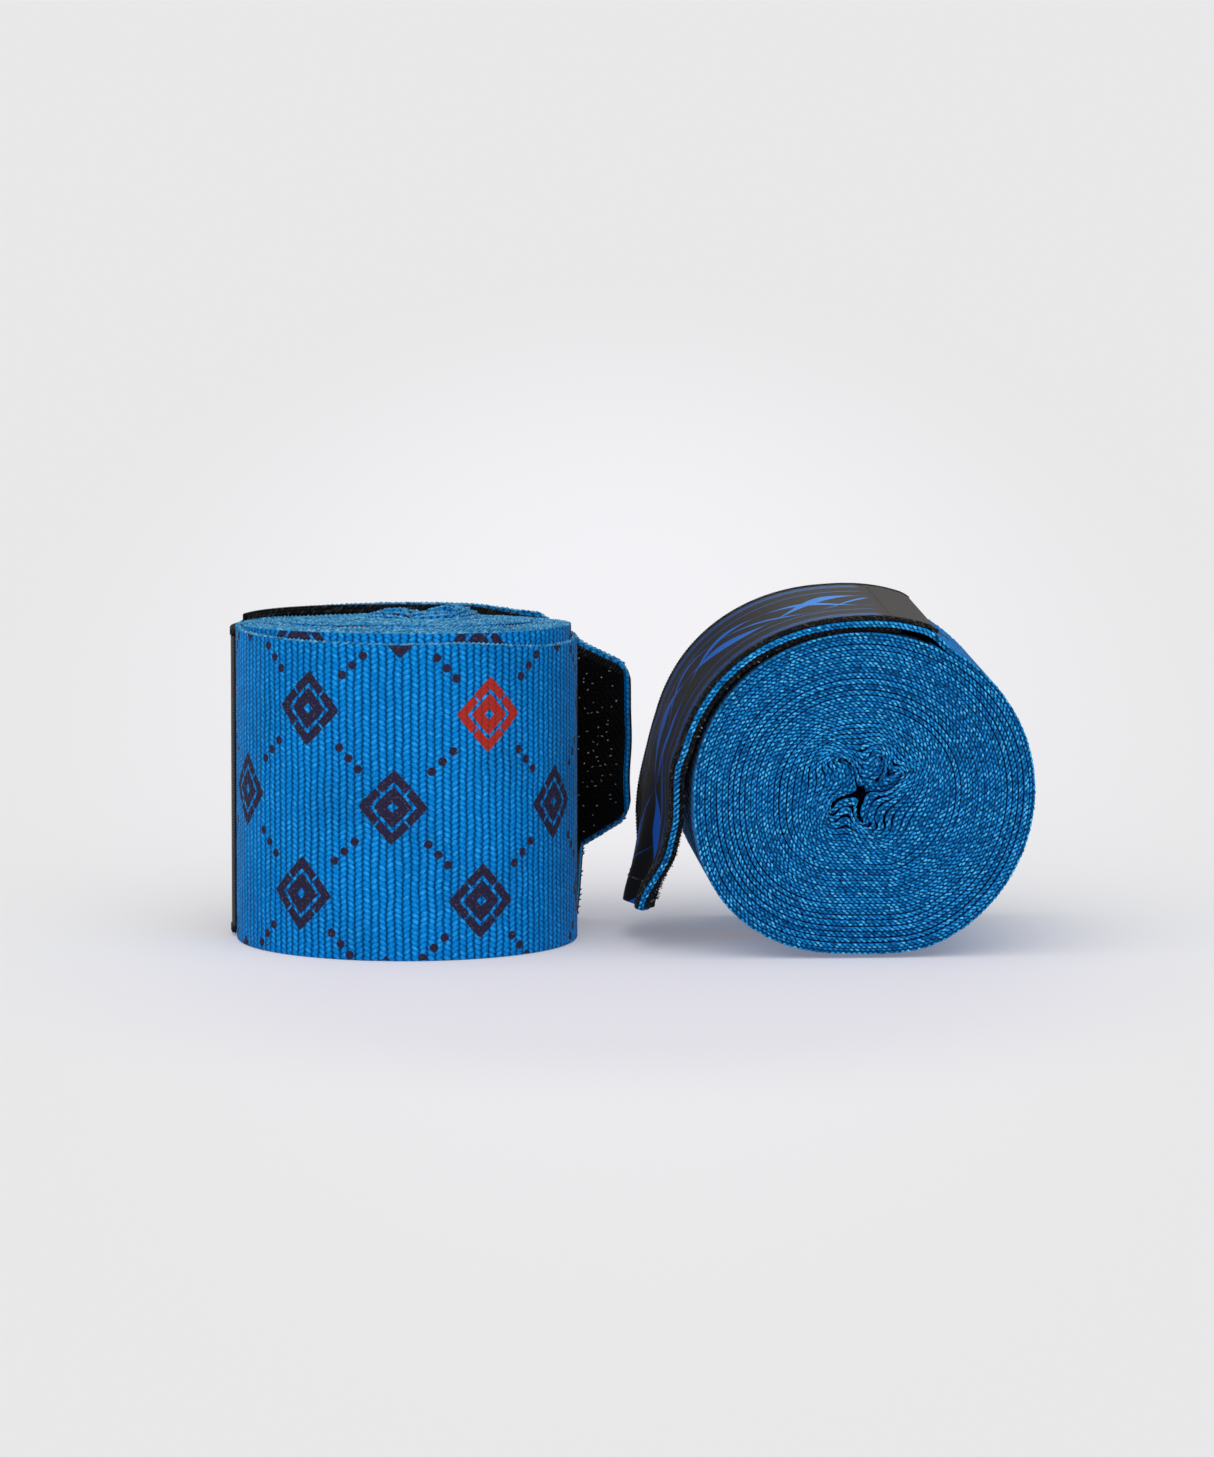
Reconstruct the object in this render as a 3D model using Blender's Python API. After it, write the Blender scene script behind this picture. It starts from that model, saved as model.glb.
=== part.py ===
"""A pair of rolled hand wraps: the left one stands on its end, the right one lies on its side.

Each wrap is one long elastic band wound on itself. Its outer end carries the closure, a woven strap on the
outer face and a hook tape on the inner face, whose narrowing tail swings on a peel line. Its inner end
carries the thumb loop, wound up in the core. Metres, +Z up, -Y towards the viewer.

A wrap is drawn in its own winding frame: (u, v) is a point of the spiral, w runs along the winding axis
from the face where w is 0, and an angle grows in the direction in which the band is wound on.
"""

import math

import bmesh
import bpy
from mathutils import Vector

MM = 0.001

# The band and its winding.
BAND_WIDTH = 50.0 * MM
TURN_PITCH = 0.9 * MM
GAP = 0.25 * MM
BAND_LAYER = TURN_PITCH - GAP
CORE_BORE_RADIUS = 5.9 * MM

# The closure.
HOOK_LAYER = 0.55 * MM
STRAP_LAYER = 0.45 * MM
CLOSURE_INSET = 0.6 * MM
HOOK_SETBACK_DEG = 12.0
RAMP_DEG = 10.0
TAIL_BEND_RADIUS = 150.0 * MM
TAIL_TIP_ROUND = 3.0 * MM
PEEL_AT = 13.5 * MM
PEEL_GAP = 0.4 * MM

# Sewing thread.
THREAD_WIDTH = 0.8 * MM
THREAD_LAYER = 0.3 * MM
THREAD_GAP = 0.2 * MM
SEAM_INSET = 2.2 * MM
END_SEAM_ARC = 8.0 * MM
TIP_SEAM_INSET = 4.0 * MM
SEAM_FROM_PEEL = 1.0 * MM

# The thumb loop, folded flat and wound up inside the core.
LOOP_WIDTH = 20.0 * MM
LOOP_LAYER = 0.7 * MM
LOOP_SPLIT = 0.3 * MM
LOOP_FIRST_RADIUS = 1.9 * MM
LOOP_LAST_RADIUS = 4.0 * MM
LOOP_SWEEP_DEG = 360.0
LOOP_STEP_DEG = 12.0
LOOP_END_DEG = 14.0
BARTACK_SPREAD_DEG = 22.0
BARTACK_LAYER = 0.5 * MM
BARTACK_WIDTH = 12.0 * MM

# How finely the round shapes are stepped.
STEP_DEG = 5.0
STEP_LENGTH = 1.3 * MM
FREE_STEPS = 5
CORNER_SHARES = (0.6, 0.3, 0.1, 0.0)
SMOOTH_UP_TO_DEG = 30.0

# The left wrap stands on its end. Angles are in its winding frame, which is seen from below.
LEFT_CENTRE = (-35.5 * MM, -1.2 * MM, 0.0)
ROLL_RADIUS = 27.4 * MM
LEFT_START_DEG = 182.0
LEFT_LIFT_DEG = 289.0
LEFT_CORE_WIDTH = 51.3 * MM
LEFT_TAIL_LENGTH = 27.8 * MM
LEFT_TAIL_TIP = (17.0 * MM, 42.0 * MM)

# The right wrap lies on its side, turned a little, and its weight presses it out of round.
RIGHT_CENTRE_X = 36.9 * MM
RIGHT_FRONT_Y = -24.8 * MM
RIGHT_REST_DEPTH = 26.2 * MM
RIGHT_YAW_DEG = 6.0
RIGHT_RADII = (27.3 * MM, 25.7 * MM, 27.2 * MM)
RIGHT_START_DEG = 65.0
RIGHT_LIFT_DEG = 166.0
RIGHT_TAIL_LENGTH = 28.5 * MM
RIGHT_TAIL_TIP = (14.0 * MM, 38.5 * MM)

BLUE = (0.0, 0.19, 0.68, 1.0)
BLACK = (0.03, 0.028, 0.03, 1.0)
HOOK_BLACK = (0.006, 0.006, 0.007, 1.0)
THREAD_BLACK = (0.015, 0.015, 0.017, 1.0)


class Wrap:
    """One rolled wrap: its outline, where its closure starts and lifts off, and its frame in the world."""

    def __init__(self, name, centre, axes, radii, flat_depth, angles, core_width, tail_length, tail_tip):
        self.name = name
        self.centre = Vector(centre)
        self.axes = [Vector(axis) for axis in axes]
        self.side_radius, self.upper_radius, self.lower_radius = radii
        self.flat_depth = flat_depth
        self.start_deg, self.lift_deg = angles
        self.core_width = core_width
        self.tail_length = tail_length
        self.tail_low, self.tail_high = tail_tip

    def world(self, u, v, w):
        u_axis, v_axis, w_axis = self.axes
        return self.centre + u_axis * u + v_axis * v + w_axis * w

    def outline(self, degrees, inward, below_surface=0.0):
        """Radius of a turn that lies inward of the outermost one, pressed flat where the roll lies."""
        cosine, sine = math.cos(math.radians(degrees)), math.sin(math.radians(degrees))
        height = self.upper_radius if sine > 0 else self.lower_radius
        radius = 1 / math.hypot(cosine / self.side_radius, sine / height) - inward - below_surface
        if self.flat_depth and sine < 0:
            radius = min(radius, (self.flat_depth - below_surface) / -sine)
        return radius

    def turns_in(self, degrees):
        """How far the last turn's outer face lies inside the outline, up to one turn before its end."""
        return TURN_PITCH * (self.start_deg - degrees) / 360

    def closure_rise(self, degrees):
        """How far the closure's band stands outside the turn below it, less one pitch."""
        ramp = min(max((degrees - self.start_deg) / RAMP_DEG, 0), 1)
        return (HOOK_LAYER + GAP) * ramp * ramp * (3 - 2 * ramp)

    def band_face(self, degrees):
        """Radius of the band's outer face along its last turn and on along the closure."""
        if degrees <= self.start_deg:
            return self.outline(degrees, self.turns_in(degrees))
        below = TURN_PITCH * (degrees - self.start_deg) / 360
        return self.outline(degrees, 0) + below + self.closure_rise(degrees)

    def closure_face(self, degrees):
        """Radius of the strap's outer face."""
        return self.band_face(degrees) + GAP + STRAP_LAYER

    def closure_frame(self, travel):
        """Point on the strap's outer face and the outward normal there.

        Travel is counted from where the closure lifts off the roll. Beyond that it bows slightly, with its
        chord on the roll's tangent.
        """
        lift = math.radians(self.lift_deg)
        radius = self.closure_face(self.lift_deg)
        if travel <= 0:
            degrees = math.degrees(lift + travel / radius)
            return polar(self.closure_face(degrees), degrees), polar(1, degrees)
        first = lift - self.tail_length / (2 * TAIL_BEND_RADIUS)
        last = first + travel / TAIL_BEND_RADIUS
        u, v = polar(radius, self.lift_deg)
        u += TAIL_BEND_RADIUS * (math.cos(last) - math.cos(first))
        v += TAIL_BEND_RADIUS * (math.sin(last) - math.sin(first))
        return (u, v), (math.cos(last), math.sin(last))

    def travel_at(self, degrees):
        """Travel of a point of the closure that still lies on the roll, so below zero."""
        return math.radians(degrees - self.lift_deg) * self.closure_face(self.lift_deg)

    def edges(self, travel, inset):
        """The closure's two edges: past the lift-off they draw in, and the tip's corners are round."""
        share = max(travel, 0) / self.tail_length
        low = self.tail_low * share
        high = BAND_WIDTH - (BAND_WIDTH - self.tail_high) * share
        short = max(TAIL_TIP_ROUND - (self.tail_length - travel), 0)
        corner = TAIL_TIP_ROUND - math.sqrt(TAIL_TIP_ROUND**2 - short**2)
        return [low + inset + corner, high - inset - corner]


def polar(radius, degrees):
    return radius * math.cos(math.radians(degrees)), radius * math.sin(math.radians(degrees))


def angle_steps(first, last):
    """Angles from first to last, evenly spaced at STEP_DEG or a little less."""
    count = math.ceil((last - first) / STEP_DEG)
    return [first + (last - first) * i / count for i in range(count + 1)]


def ring_station(wrap, degrees, outer_radius, thickness, rows):
    """A cross-section of a layer wound on the roll: outer point, inner point, heights along the axis."""
    return polar(outer_radius, degrees), polar(outer_radius - thickness, degrees), rows


def closure_station(wrap, travel, depth, thickness, rows):
    """A cross-section of a closure layer. depth is how far its outer face lies inside the strap's."""
    (u, v), (normal_u, normal_v) = wrap.closure_frame(travel)
    outer = (u - normal_u * depth, v - normal_v * depth)
    deeper = depth + thickness
    return outer, (u - normal_u * deeper, v - normal_v * deeper), rows


def even_steps(first, last):
    """Travels along a straight stretch of the closure."""
    return [first + (last - first) * i / FREE_STEPS for i in range(FREE_STEPS + 1)]


def base_travels(first, clear=PEEL_GAP / 2):
    """Steps along the closure from a travel on the roll to a little way before the peel line."""
    on_roll = round(-first / STEP_LENGTH)
    free = even_steps(0.0, PEEL_AT - clear)
    return [first * (1 - i / on_roll) for i in range(on_roll)] + free


def tail_travels(wrap):
    """Steps along the closure from just past the peel line to its tip, closer together round the corners."""
    straight = even_steps(PEEL_AT + PEEL_GAP / 2, wrap.tail_length - TAIL_TIP_ROUND)
    return straight + [wrap.tail_length - TAIL_TIP_ROUND * share for share in CORNER_SHARES]


def layer_solid(wrap, stations, keep=None):
    """A bent layer as a closed mesh.

    Each station holds an outer point, an inner point and the rows between cells. keep(i, j) says whether the
    cell after station i and row j is there.
    """
    columns, rows = len(stations) - 1, len(stations[0][2]) - 1
    cells = {(i, j) for i in range(columns) for j in range(rows) if keep is None or keep(i, j)}
    mesh = bmesh.new()
    made = {}

    def vertex(i, j, side):
        if (i, j, side) not in made:
            u, v = stations[i][side]
            made[i, j, side] = mesh.verts.new(wrap.world(u, v, stations[i][2][j]))
        return made[i, j, side]

    for i, j in sorted(cells):
        corners = [(i, j), (i + 1, j), (i + 1, j + 1), (i, j + 1)]
        for side in (0, 1):
            mesh.faces.new([vertex(*corner, side) for corner in corners])
        beyond = [(i, j - 1), (i + 1, j), (i, j + 1), (i - 1, j)]
        for k, neighbour in enumerate(beyond):
            if neighbour not in cells:
                first, second = corners[k], corners[(k + 1) % 4]
                mesh.faces.new([vertex(*first, 0), vertex(*second, 0), vertex(*second, 1), vertex(*first, 1)])
    return mesh


def add_object(name, mesh, material, origin, parent):
    """Turns a bmesh in world places into an object whose origin is at the given point."""
    bmesh.ops.recalc_face_normals(mesh, faces=mesh.faces)
    bmesh.ops.translate(mesh, verts=mesh.verts, vec=-origin)
    data = bpy.data.meshes.new(name)
    mesh.to_mesh(data)
    mesh.free()
    data.materials.append(material)
    data.shade_smooth()
    data.set_sharp_from_angle(angle=math.radians(SMOOTH_UP_TO_DEG))
    made = bpy.data.objects.new(name, data)
    bpy.context.scene.collection.objects.link(made)
    made.parent = parent
    made.location = origin - Vector(parent["world_place"]) if parent else origin
    return made


def add_empty(name, place, parent=None):
    made = bpy.data.objects.new(name, None)
    bpy.context.scene.collection.objects.link(made)
    made.empty_display_size = 0.01
    made.parent = parent
    made.location = place - Vector(parent["world_place"]) if parent else place
    made["world_place"] = place
    return made


def make_material(name, colour, roughness):
    material = bpy.data.materials.new(name)
    material.use_nodes = True
    shader = material.node_tree.nodes["Principled BSDF"]
    shader.inputs["Base Color"].default_value = colour
    shader.inputs["Roughness"].default_value = roughness
    shader.inputs["Metallic"].default_value = 0.0
    material.diffuse_color = colour
    return material


def prism_with_hole(wrap, outer_points, inner_points, low, high):
    """A closed solid between two loops of equally many points, drawn out along the winding axis."""
    mesh = bmesh.new()
    low_outer, low_inner, high_outer, high_inner = (
        [mesh.verts.new(wrap.world(*point, height)) for point in points]
        for height in (low, high)
        for points in (outer_points, inner_points)
    )
    for i in range(len(outer_points)):
        after = (i + 1) % len(outer_points)
        for first, second in (
            (low_outer, high_outer),
            (low_inner, high_inner),
            (low_outer, low_inner),
            (high_outer, high_inner),
        ):
            mesh.faces.new([first[i], first[after], second[after], second[i]])
    return mesh


def inner_turns(wrap):
    """All turns under the last one, as one roll with a spiral outside and the core's bore."""
    angles = angle_steps(wrap.start_deg - 360, wrap.start_deg)
    outer = [polar(wrap.outline(degrees, wrap.turns_in(degrees), TURN_PITCH), degrees) for degrees in angles]
    bore = [polar(CORE_BORE_RADIUS, angles[0] + 360 * i / len(angles)) for i in range(len(angles))]
    return prism_with_hole(wrap, outer, bore, 0.0, wrap.core_width)


def outer_turn(wrap):
    """The band's last full turn and its stretch under the strap, up to the peel line."""
    first = wrap.start_deg - 360 + math.degrees(GAP / wrap.side_radius)
    stations = [
        ring_station(wrap, degrees, wrap.band_face(degrees), BAND_LAYER, [0.0, BAND_WIDTH])
        for degrees in angle_steps(first, wrap.start_deg)[:-1]
    ]
    stations += [
        closure_station(wrap, travel, STRAP_LAYER + GAP, BAND_LAYER, wrap.edges(travel, 0.0))
        for travel in base_travels(wrap.travel_at(wrap.start_deg))
    ]
    return layer_solid(wrap, stations)


def closure_layer(wrap, travels, depth, thickness, inset):
    return layer_solid(
        wrap,
        [closure_station(wrap, travel, depth, thickness, wrap.edges(travel, inset)) for travel in travels],
    )


def thread_rows(low, high):
    return [low, low + THREAD_WIDTH, high - THREAD_WIDTH, high]


def stitching(wrap, travels, across_cell):
    """A seam along both edges of the closure, joined by a seam across it in one cell."""
    stations = []
    for travel in travels:
        low, high = wrap.edges(min(travel, wrap.tail_length - TAIL_TIP_ROUND), SEAM_INSET)
        depth = -THREAD_GAP - THREAD_LAYER
        stations.append(closure_station(wrap, travel, depth, THREAD_LAYER, thread_rows(low, high)))
    return layer_solid(wrap, stations, keep=lambda i, j: i == across_cell or j != 1)


def base_stitching(wrap):
    """The seam round the strap's sewn end and along its edges, up to the peel line."""
    across = wrap.travel_at(wrap.start_deg) + END_SEAM_ARC
    travels = [across] + base_travels(across + THREAD_WIDTH, SEAM_FROM_PEEL)
    return stitching(wrap, travels, across_cell=0)


def tail_stitching(wrap):
    """The seam along the tail's edges and across near its tip."""
    across = wrap.tail_length - TIP_SEAM_INSET
    travels = even_steps(PEEL_AT + SEAM_FROM_PEEL, across) + [across + THREAD_WIDTH]
    return stitching(wrap, travels, across_cell=FREE_STEPS)


def thumb_loop(wrap):
    """The loop, pressed flat into two layers joined at both ends and wound up with the core."""
    growth = (LOOP_LAST_RADIUS - LOOP_FIRST_RADIUS) / LOOP_SWEEP_DEG
    steps = round(LOOP_SWEEP_DEG / LOOP_STEP_DEG)

    def boundary(offset, end_inset_deg):
        span = LOOP_SWEEP_DEG - 2 * end_inset_deg
        angles = [end_inset_deg + span * i / steps for i in range(steps + 1)]
        spiral = [(LOOP_FIRST_RADIUS + growth * degrees, degrees) for degrees in angles]
        outward = [polar(radius + offset, degrees) for radius, degrees in spiral]
        back = [polar(radius - offset, degrees) for radius, degrees in reversed(spiral)]
        return outward + back

    outer = boundary(LOOP_SPLIT / 2 + LOOP_LAYER, 0.0)
    slit = boundary(LOOP_SPLIT / 2, LOOP_END_DEG)
    low = (BAND_WIDTH - LOOP_WIDTH) / 2
    return prism_with_hole(wrap, outer, slit, low, low + LOOP_WIDTH)


def thumb_loop_bartack(wrap):
    """The sewn block that joins the loop to the band's inner end."""
    radius = LOOP_LAST_RADIUS + LOOP_SPLIT / 2 + LOOP_LAYER + GAP + BARTACK_LAYER
    low = (BAND_WIDTH - BARTACK_WIDTH) / 2
    rows = [low, low + BARTACK_WIDTH]
    stations = [
        ring_station(wrap, degrees, radius, BARTACK_LAYER, rows)
        for degrees in angle_steps(LOOP_SWEEP_DEG - BARTACK_SPREAD_DEG, LOOP_SWEEP_DEG)
    ]
    return layer_solid(wrap, stations)


def build_wrap(wrap, roll_parent, materials):
    """Adds the wrap's pieces: those on the roll, and those of the tail around an empty on the peel line."""
    base = base_travels(wrap.travel_at(wrap.start_deg))
    hook_base = base_travels(wrap.travel_at(wrap.start_deg + HOOK_SETBACK_DEG))
    tail = tail_travels(wrap)
    band_depth = STRAP_LAYER + GAP
    hook_depth = band_depth + BAND_LAYER + GAP
    on_roll = {
        "band_inner_turns": (inner_turns(wrap), "band"),
        "band_outer_turn": (outer_turn(wrap), "band"),
        "closure_strap_base": (closure_layer(wrap, base, 0.0, STRAP_LAYER, CLOSURE_INSET), "strap"),
        "hook_tape_base": (closure_layer(wrap, hook_base, hook_depth, HOOK_LAYER, CLOSURE_INSET), "hook"),
        "closure_stitching_base": (base_stitching(wrap), "thread"),
        "thumb_loop": (thumb_loop(wrap), "loop"),
        "thumb_loop_bartack": (thumb_loop_bartack(wrap), "thread"),
    }
    on_tail = {
        "band_tail": (closure_layer(wrap, tail, band_depth, BAND_LAYER, 0.0), "band"),
        "closure_strap_tail": (closure_layer(wrap, tail, 0.0, STRAP_LAYER, CLOSURE_INSET), "strap"),
        "hook_tape_tail": (closure_layer(wrap, tail, hook_depth, HOOK_LAYER, CLOSURE_INSET), "hook"),
        "closure_stitching_tail": (tail_stitching(wrap), "thread"),
    }
    (peel_u, peel_v), _ = wrap.closure_frame(PEEL_AT)
    peel_line = wrap.world(peel_u, peel_v, BAND_WIDTH / 2)
    hinge = add_empty(f"{wrap.name}_peel_line", peel_line, roll_parent)
    for name, (mesh, slot) in on_roll.items():
        add_object(f"{wrap.name}_{name}", mesh, materials[slot], wrap.centre.copy(), roll_parent)
    for name, (mesh, slot) in on_tail.items():
        add_object(f"{wrap.name}_{name}", mesh, materials[slot], peel_line, hinge)


def main():
    for existing in list(bpy.data.objects):
        bpy.data.objects.remove(existing, do_unlink=True)
    materials = {
        "band": make_material("band", BLUE, 0.85),
        "strap": make_material("strap", BLACK, 0.6),
        "hook": make_material("hook", HOOK_BLACK, 0.7),
        "thread": make_material("thread", THREAD_BLACK, 0.55),
        "loop": make_material("loop", BLUE, 0.85),
    }
    yaw = math.radians(RIGHT_YAW_DEG)
    left = Wrap(
        "left",
        centre=LEFT_CENTRE,
        axes=((1, 0, 0), (0, -1, 0), (0, 0, 1)),
        radii=(ROLL_RADIUS, ROLL_RADIUS, ROLL_RADIUS),
        flat_depth=None,
        angles=(LEFT_START_DEG, LEFT_LIFT_DEG),
        core_width=LEFT_CORE_WIDTH,
        tail_length=LEFT_TAIL_LENGTH,
        tail_tip=LEFT_TAIL_TIP,
    )
    right = Wrap(
        "right",
        centre=(RIGHT_CENTRE_X, RIGHT_FRONT_Y, RIGHT_REST_DEPTH),
        axes=((math.cos(yaw), math.sin(yaw), 0), (0, 0, 1), (-math.sin(yaw), math.cos(yaw), 0)),
        radii=RIGHT_RADII,
        flat_depth=RIGHT_REST_DEPTH,
        angles=(RIGHT_START_DEG, RIGHT_LIFT_DEG),
        core_width=BAND_WIDTH,
        tail_length=RIGHT_TAIL_LENGTH,
        tail_tip=RIGHT_TAIL_TIP,
    )
    build_wrap(left, None, materials)
    build_wrap(right, add_empty("right_wrap_lift", right.centre), materials)


main()
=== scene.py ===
"""A pair of rolled hand wraps on a pale floor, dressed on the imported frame.

Lengths are in millimetres until a mesh is made. A wrap is drawn in its winding frame: (u, v) is a point of
the spiral, w runs along the winding axis, and an angle grows in the direction that the band is wound on.
"""

import math

import bpy
import numpy as np
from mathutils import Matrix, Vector


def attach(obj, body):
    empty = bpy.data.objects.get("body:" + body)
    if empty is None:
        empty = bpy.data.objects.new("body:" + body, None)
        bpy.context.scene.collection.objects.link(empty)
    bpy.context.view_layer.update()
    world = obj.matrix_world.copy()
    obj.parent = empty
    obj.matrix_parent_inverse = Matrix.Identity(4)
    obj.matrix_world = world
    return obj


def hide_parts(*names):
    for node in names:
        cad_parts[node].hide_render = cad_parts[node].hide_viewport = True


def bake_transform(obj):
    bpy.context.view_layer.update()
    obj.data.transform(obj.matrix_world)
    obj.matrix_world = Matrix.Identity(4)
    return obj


MM = 0.001
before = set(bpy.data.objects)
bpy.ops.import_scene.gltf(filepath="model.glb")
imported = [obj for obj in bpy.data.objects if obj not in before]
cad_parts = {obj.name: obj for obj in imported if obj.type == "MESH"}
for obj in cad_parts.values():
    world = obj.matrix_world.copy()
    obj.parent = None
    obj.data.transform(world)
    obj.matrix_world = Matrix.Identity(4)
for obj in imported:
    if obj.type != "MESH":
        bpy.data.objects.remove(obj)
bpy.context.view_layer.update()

# The band and its closure, as in the CAD.
BAND_WIDTH = 50.0
TURN_PITCH = 0.9
GAP = 0.25
BAND_LAYER = 0.65
HOOK_LAYER = 0.55
STRAP_LAYER = 0.45
CLOSURE_INSET = 0.6
HOOK_SETBACK_DEG = 12.0
RAMP_DEG = 10.0
TAIL_BEND_RADIUS = 150.0
TAIL_TIP_ROUND = 1.8
PEEL_AT = 13.5
SEAM_INSET = 2.2
UNDER_STRAP = STRAP_LAYER + GAP
UNDER_BAND = UNDER_STRAP + BAND_LAYER + GAP

# The weave, and the band as drawn. Turns are counted inward from where the closure starts: they are wound
# tight up to LOOSE_FROM, and from there on they fold up around the core.
RIB = 1.26
STITCH = 0.85
BAND_THICK = 0.80
LOOSE_FROM = 14.5
LOOSE_PITCH = 0.92
TURNS = 25.2

# The lying roll: where its outline is fuller, how it is pressed flat, and how its closure stands off it.
BULGE, BULGE_DEG, BULGE_SPAN = 1.25, 218, 40
FLAT_EASE, FLAT_POWER = 1.006, 32.0
SWELL, SLACK = 0.5, 1.0

# How far the left tail's high edge has come in, by share of the tail's length.
HIGH_EDGE = ((0.0, 0.43, 0.7, 1.0), (0.0, 0.05, 0.61, 1.0))


def smooth(x):
    x = np.clip(x, 0.0, 1.0)
    return x * x * (3 - 2 * x)


def wobble(x, seed, octaves=3):
    """A smooth one-dimensional noise from -1 to 1, the same on every run."""
    rng = np.random.default_rng(seed)
    total = np.zeros_like(np.asarray(x, float))
    for octave in range(octaves):
        frequency = 2.0**octave * rng.uniform(0.8, 1.2)
        total += np.sin(x * frequency + rng.uniform(0, 2 * np.pi)) / 1.6**octave
    return total / sum(1 / 1.6**octave for octave in range(octaves))


class Wrap:
    """One rolled wrap: the outline of its roll, its closure's path, and its frame in the world."""

    def __init__(self, name, centre, axes, radii, flat_depth, angles, tail_length, tail_tip, shoulder, core):
        self.name = name
        self.centre = np.array(centre, float)
        self.axes = np.array(axes, float)
        self.side_radius, self.upper_radius, self.lower_radius = radii
        self.flat_depth = flat_depth
        self.start_deg, self.lift_deg = angles
        self.tail_length = tail_length
        self.tail_low, self.tail_high = tail_tip
        self.shoulder = shoulder
        self.core_turn, self.core_centre = core

    def world(self, uv, w):
        """Points in metres from (..., 2) and (...) arrays in millimetres."""
        u_axis, v_axis, w_axis = self.axes
        flat = uv[..., :1] * u_axis + uv[..., 1:] * v_axis + np.asarray(w)[..., None] * w_axis
        return (self.centre + flat) * MM

    def direction(self, uv):
        """World directions, one millimetre long, of (N, 2) unit vectors in the winding plane."""
        return self.world(uv, np.zeros(len(uv))) - self.world(np.zeros((1, 2)), np.zeros(1))

    def outline(self, degrees):
        """Radius of the last turn's outer face where the closure starts, for every angle."""
        cosine, sine = np.cos(np.radians(degrees)), np.sin(np.radians(degrees))
        height = np.where(sine > 0, self.upper_radius, self.lower_radius)
        radius = 1 / np.hypot(cosine / self.side_radius, sine / height)
        if self.flat_depth:
            radius = radius + BULGE * smooth(1 - np.abs(np.mod(degrees, 360) - BULGE_DEG) / BULGE_SPAN)
            pressed = np.maximum(-sine, 0) / (self.flat_depth * FLAT_EASE)
            radius = (radius**-FLAT_POWER + pressed**FLAT_POWER) ** (-1 / FLAT_POWER)
        return radius

    def band_face(self, degrees):
        """Radius of the band's outer face, from the core to the end of the closure."""
        past = degrees - self.start_deg
        on_roll = self.outline(degrees) + TURN_PITCH * past / 360
        if self.name == "left":
            return on_roll + smooth(past / RAMP_DEG) * (HOOK_LAYER + GAP)
        swell = SWELL * smooth(1 - np.abs(past - 2) / 30.0)
        slack = SLACK * smooth((past - 25) / 60)
        return on_roll + smooth((past + 9) / 13) * (HOOK_LAYER + GAP + swell + slack)

    def strap_face(self, degrees):
        return self.band_face(degrees) + GAP + STRAP_LAYER

    def travel_at(self, degrees):
        """Length along the closure in millimetres, 0 where the tail leaves the roll and negative before."""
        return math.radians(degrees - self.lift_deg) * float(self.strap_face(np.float64(self.lift_deg)))

    def closure_frame(self, travel):
        """Points (N, 2) on the strap's outer face and the outward normals there."""
        travel = np.asarray(travel, float)
        lift_radius = float(self.strap_face(np.float64(self.lift_deg)))
        on_roll = np.radians(self.lift_deg) + np.minimum(travel, 0) / lift_radius
        radius = self.strap_face(np.degrees(on_roll))
        roll_points = radius[:, None] * unit(on_roll)
        first = math.radians(self.lift_deg) - self.tail_length / (2 * TAIL_BEND_RADIUS)
        bent = first + np.maximum(travel, 0) / TAIL_BEND_RADIUS
        bow = TAIL_BEND_RADIUS * (unit(bent) - unit(np.full_like(bent, first)))
        free = travel > 0
        points = roll_points + np.where(free[:, None], bow, 0)
        normals = np.where(free[:, None], unit(bent), unit(on_roll))
        return points, normals

    def stands(self, travel, layer):
        """How far a layer's high edge stands up, because the left wrap's closure is wound askew."""
        if self.name == "right":
            return 0.0 * travel
        start = self.travel_at(self.start_deg)
        share = (travel - start) / -start
        at_start, later = {"hook": (1.9, 1.0), "band": (-0.5, 0.6), "strap": (0.0, 0.3)}[layer]
        rise = at_start + (later - at_start) * smooth(share / (0.9 if layer == "hook" else 0.45))
        return rise * (1 - smooth(travel / 12.0))

    def edges(self, travel, inset, layer="band"):
        """The closure's low and high edge along the axis."""
        share = np.maximum(travel, 0) / self.tail_length
        low_share = share * smooth((travel - self.shoulder) / 1.3) if self.shoulder else share
        short = np.clip(TAIL_TIP_ROUND - (self.tail_length - travel), 0, TAIL_TIP_ROUND)
        corner = TAIL_TIP_ROUND - np.sqrt(TAIL_TIP_ROUND**2 - short**2)
        low = self.tail_low * low_share + inset + corner
        high_share = share
        if self.shoulder:
            high_share = np.interp(travel / self.tail_length, *HIGH_EDGE)
        stood = BAND_WIDTH + self.stands(travel, layer)
        high = stood - (BAND_WIDTH - self.tail_high) * high_share - inset - corner
        return low, high

    def dimple(self, degrees):
        """How far a turn's edge sinks into the roll's face: deepest around the crevices in the core."""
        inward = TURNS - (self.start_deg - degrees) / 360
        at_crevice = crevice_depth(degrees - self.core_turn)
        pillow = 0.7 * np.exp(-(((inward - 2.8) / 1.8) ** 2)) * (1 - at_crevice)
        return 1.3 * np.exp(-inward / 0.5) + 1.9 * at_crevice * np.exp(-inward / 2.5) - pillow

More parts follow.
